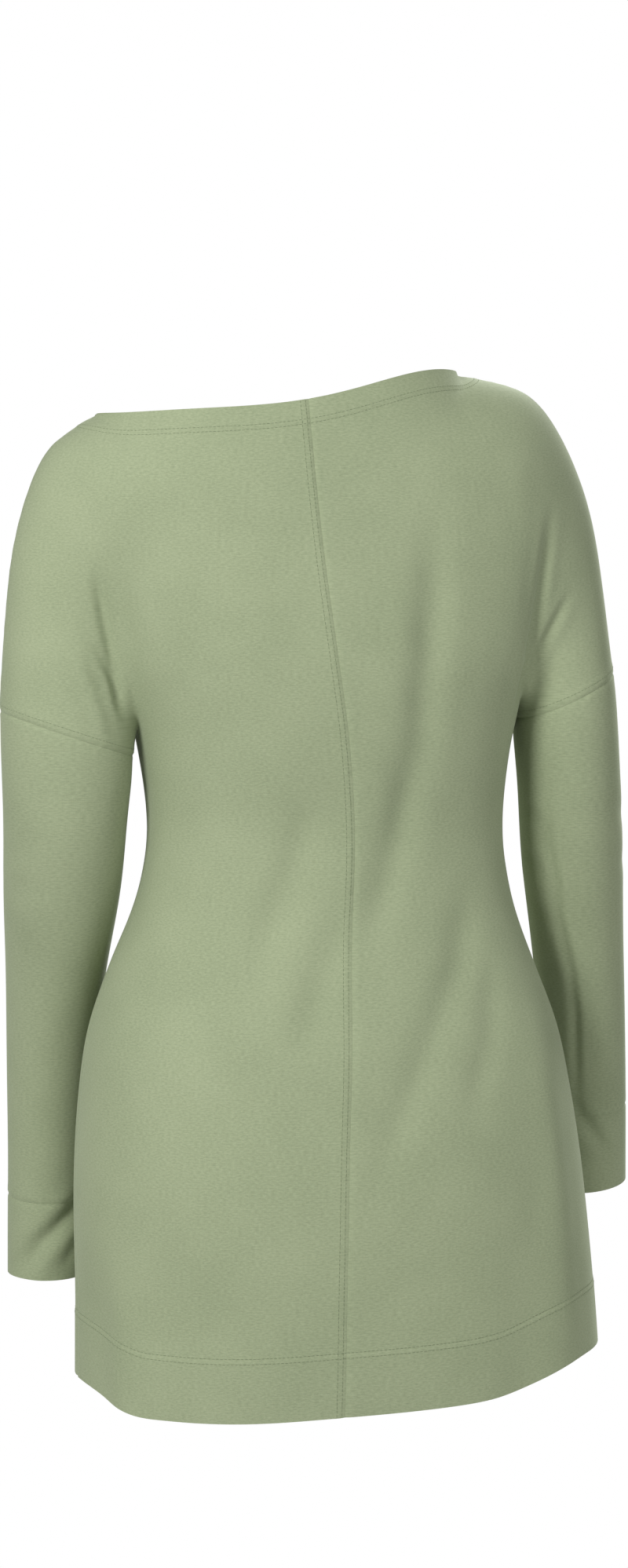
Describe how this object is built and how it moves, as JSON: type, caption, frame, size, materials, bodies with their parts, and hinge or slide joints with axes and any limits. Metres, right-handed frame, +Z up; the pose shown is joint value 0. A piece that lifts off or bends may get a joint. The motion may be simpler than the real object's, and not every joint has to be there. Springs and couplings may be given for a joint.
{
  "type": "long top",
  "caption": "Long sage-green knit top with drop shoulders, a wide neck, long cuffed sleeves and a seam down its back, hanging in its worn form",
  "frame": {"origin": "between the wearer's shoulders, level with the neck opening", "axes": "+Z up, -Y the wearer's front, +X the wearer's left"},
  "size_m": [0.5243, 0.2858, 0.7819],
  "materials": {
    "knit": "matt fine knit"
  },
  "bodies": {
    "root": {"back_left": "knit", "back_right": "knit", "front": "knit", "sleeve_left": "knit", "sleeve_right": "knit", "cuff_left": "knit", "cuff_right": "knit"}
  },
  "joints": []
}
